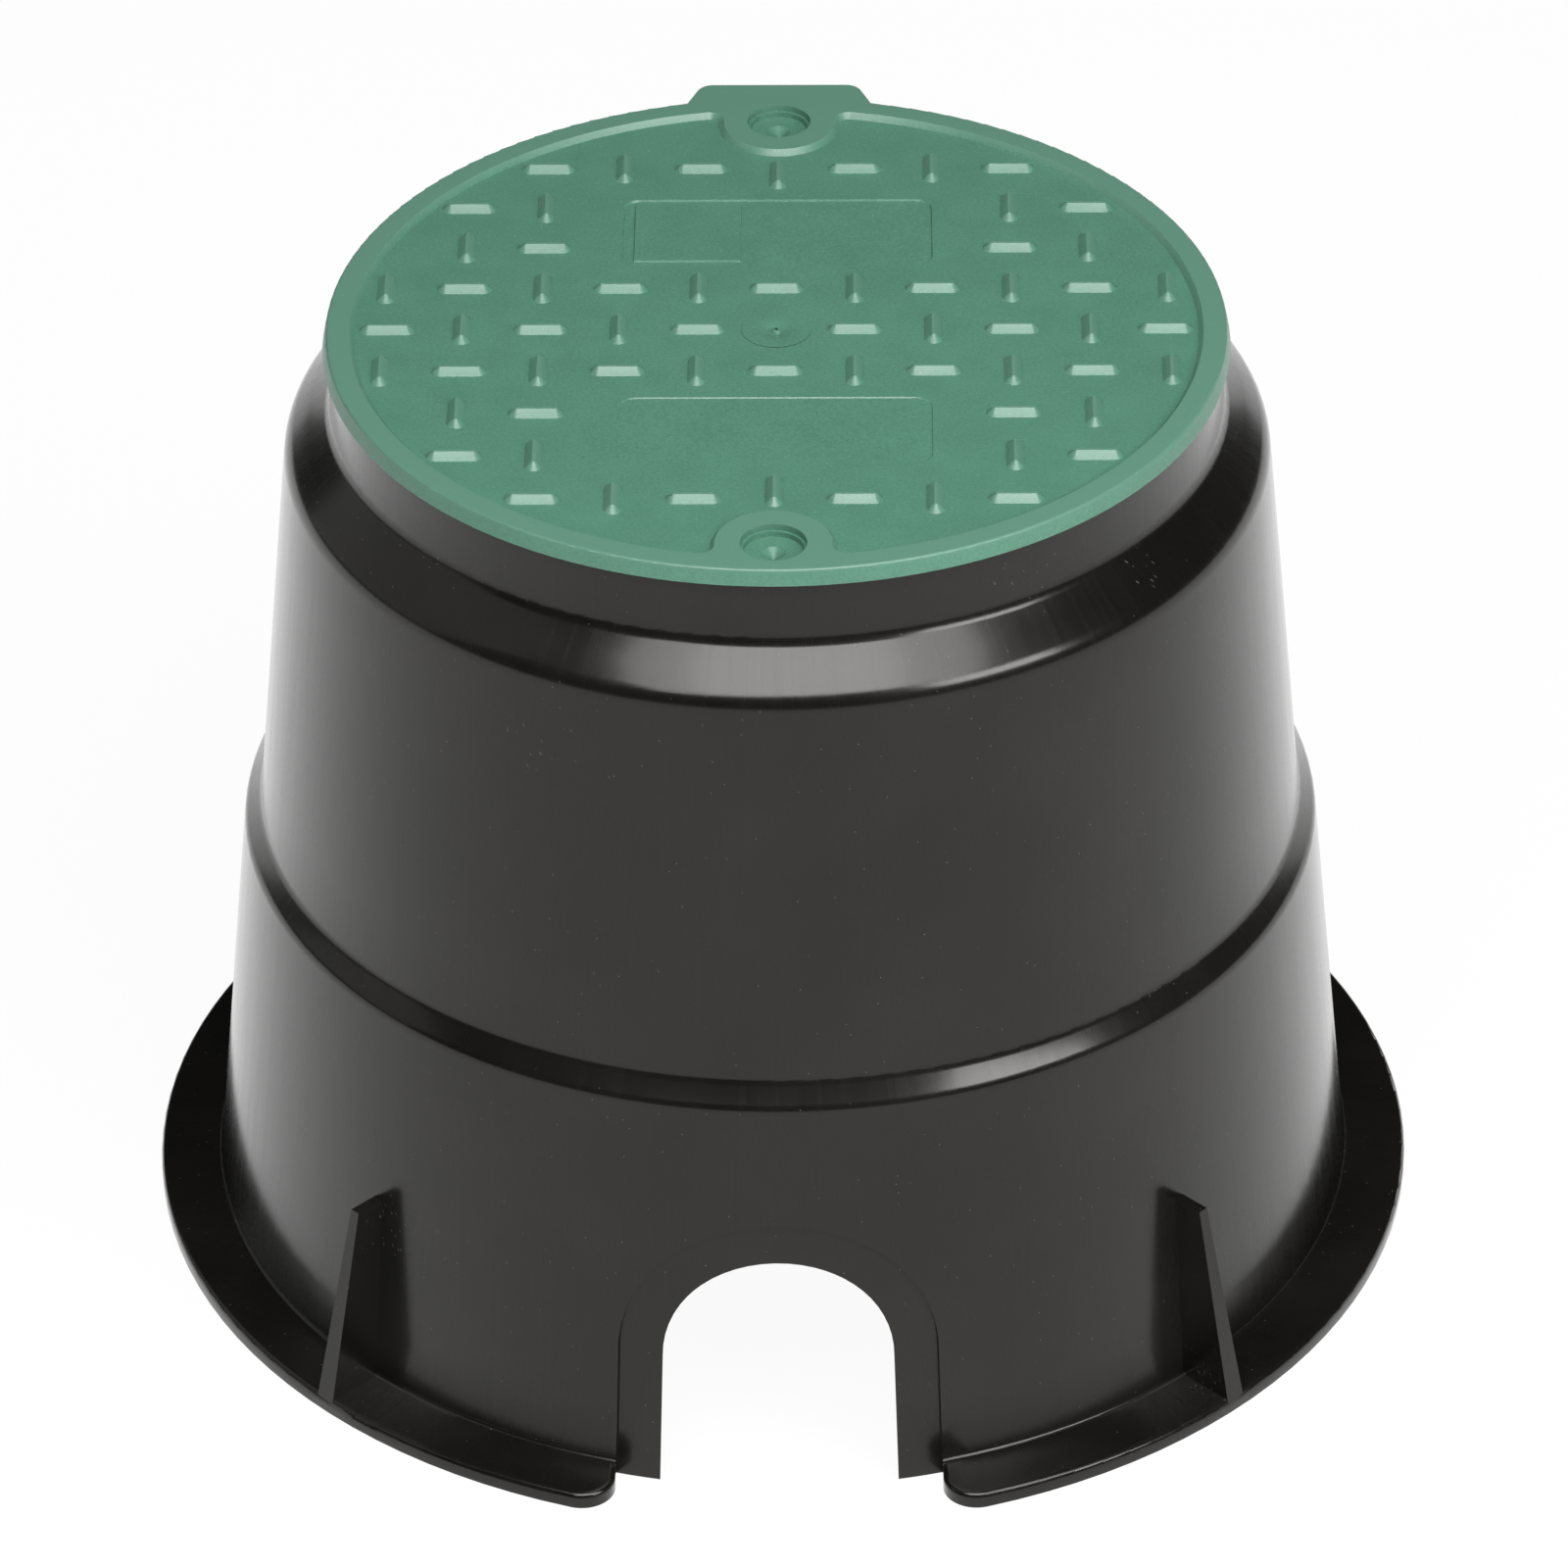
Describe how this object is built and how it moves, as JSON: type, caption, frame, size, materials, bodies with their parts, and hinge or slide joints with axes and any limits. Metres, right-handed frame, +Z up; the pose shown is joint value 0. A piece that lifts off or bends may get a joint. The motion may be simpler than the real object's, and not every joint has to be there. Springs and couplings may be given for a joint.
{
  "type": "irrigation valve box",
  "caption": "Round tapered ground box for a buried irrigation valve, with arched pipe slots, a gusseted base flange and a flat treaded lid with a lift tab.",
  "frame": {"origin": "the centre of the base, in the plane of the flange's underside that the box stands on", "axes": "+Z is up through the lid, -Y points out of the front pipe arch, +Y points out of the back pipe arch and towards the lid's lift tab, and +X is to the right seen from the front"},
  "size_m": [0.3342, 0.3176, 0.2574],
  "materials": {
    "body_plastic": "satin",
    "lid_plastic": "satin"
  },
  "bodies": {
    "root": {"box_body": "body_plastic", "lid": "lid_plastic"}
  },
  "joints": []
}
